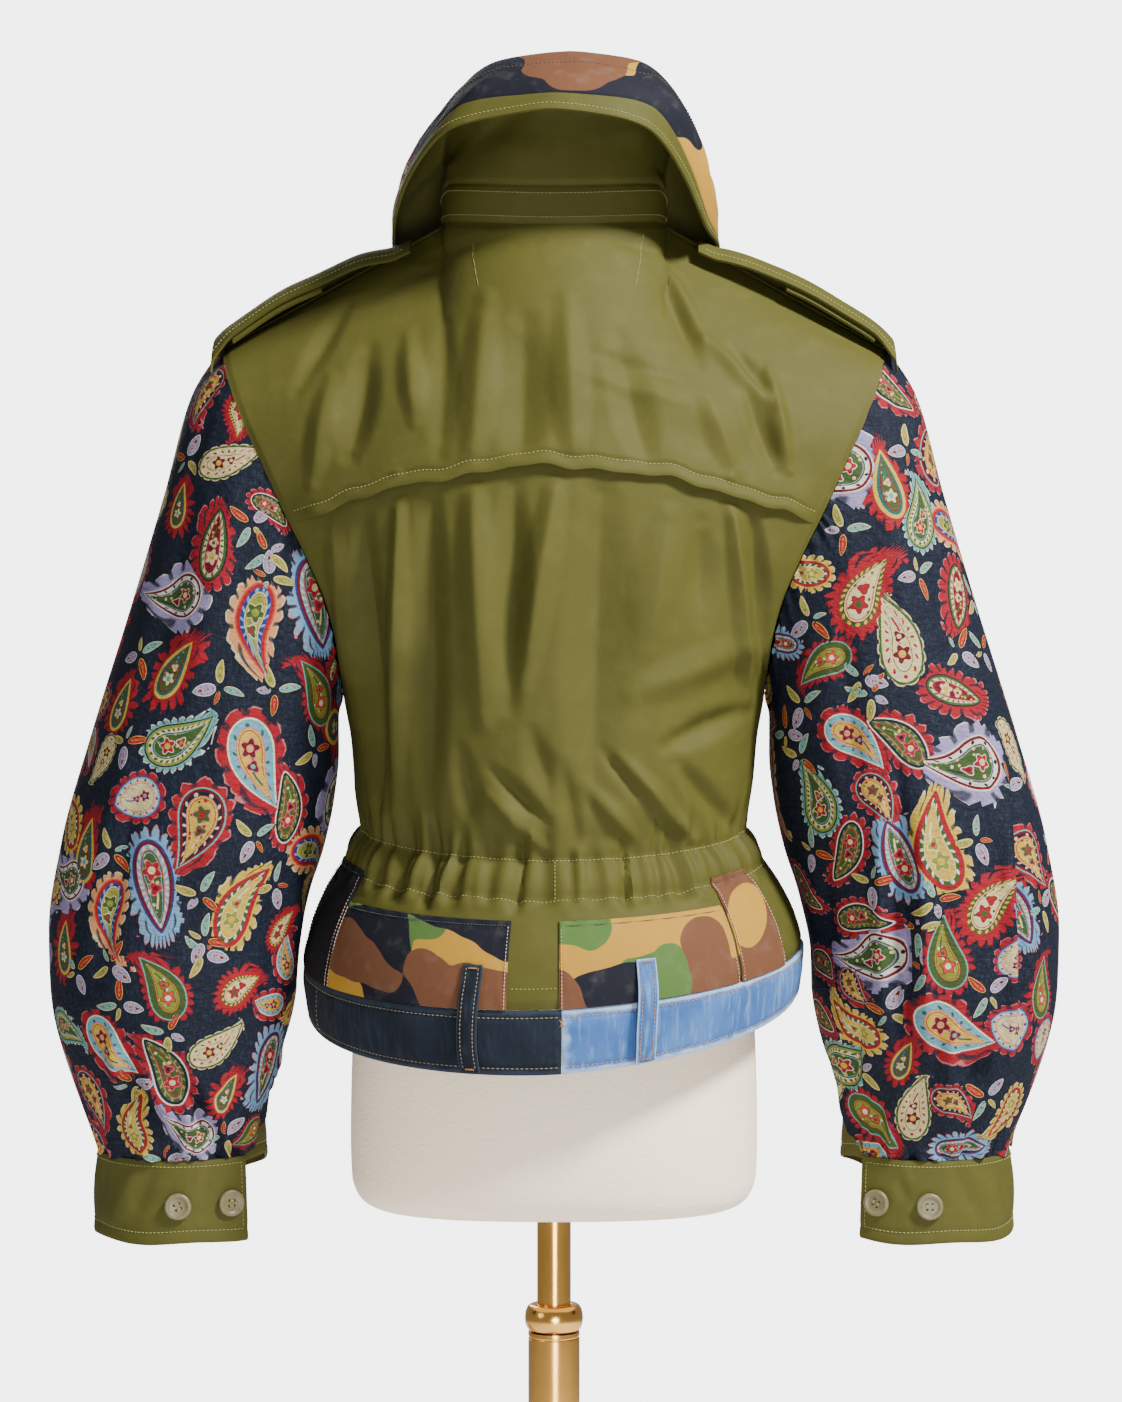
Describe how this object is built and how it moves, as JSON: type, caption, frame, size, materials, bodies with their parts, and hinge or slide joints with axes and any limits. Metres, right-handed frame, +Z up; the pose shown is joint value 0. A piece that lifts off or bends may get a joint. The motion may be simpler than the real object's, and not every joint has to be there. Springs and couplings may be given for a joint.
{
  "type": "patchwork bomber jacket on a limbless dress form with a stand",
  "caption": "Cropped patchwork jacket with full paisley sleeves, a rolled collar, a gathered waist and denim waistband, on a limbless dress form with a sliding pole stand.",
  "frame": {"origin": "on the floor under the middle of the stand's round base", "axes": "+Z up along the stand's pole; the jacket's front faces -Y; +X is to the wearer's left"},
  "size_m": [0.7478, 0.34, 1.4383],
  "materials": {
    "olive_cotton": "olive-green cotton sateen, soft sheen",
    "paisley_cotton": "printed cotton, many-coloured paisley on dark navy",
    "camouflage_cotton": "printed cotton, green, navy, yellow and brown blotches",
    "black_cotton": "plain black cotton",
    "dark_denim": "dark navy denim with pale stitching",
    "light_denim": "washed light-blue denim, worn pale at its edges",
    "olive_button": "olive-brown four-hole buttons, satin",
    "form_jersey": "cream jersey stretched smooth",
    "brass": "polished brass"
  },
  "bodies": {
    "stand": {"stand_base": "brass", "outer_tube": "brass", "stand_ring": "brass"},
    "form": {"back_panel": "olive_cotton", "back_yoke": "olive_cotton", "front_left": "olive_cotton", "front_right": "olive_cotton", "front_placket": "olive_cotton", "cuff_left": "olive_cotton", "cuff_right": "olive_cotton", "collar_stand": "olive_cotton", "under_collar": "olive_cotton", "collar_border": "olive_cotton", "shoulder_strap_left": "olive_cotton", "shoulder_strap_right": "olive_cotton", "sleeve_left": "paisley_cotton", "sleeve_right": "paisley_cotton", "top_collar_paisley": "paisley_cotton", "camouflage_patch_left": "camouflage_cotton", "camouflage_patch_right": "camouflage_cotton", "camouflage_patch_side": "camouflage_cotton", "top_collar_camouflage": "camouflage_cotton", "black_patch_left": "black_cotton", "waistband_left": "dark_denim", "belt_loop_left": "dark_denim", "waistband_right": "light_denim", "belt_loop_right": "light_denim", "front_button_1": "olive_button", "front_button_2": "olive_button", "front_button_3": "olive_button", "front_button_4": "olive_button", "front_button_5": "olive_button", "cuff_button_left_1": "olive_button", "cuff_button_left_2": "olive_button", "cuff_button_right_1": "olive_button", "cuff_button_right_2": "olive_button", "waistband_button": "brass", "dress_form": "form_jersey", "inner_tube": "brass"}
  },
  "joints": [
    {"name": "height_slide", "type": "slide", "parent": "stand", "child": "form", "axis": [0, 0, 1], "range_m": [-0.05, 0.22]}
  ]
}
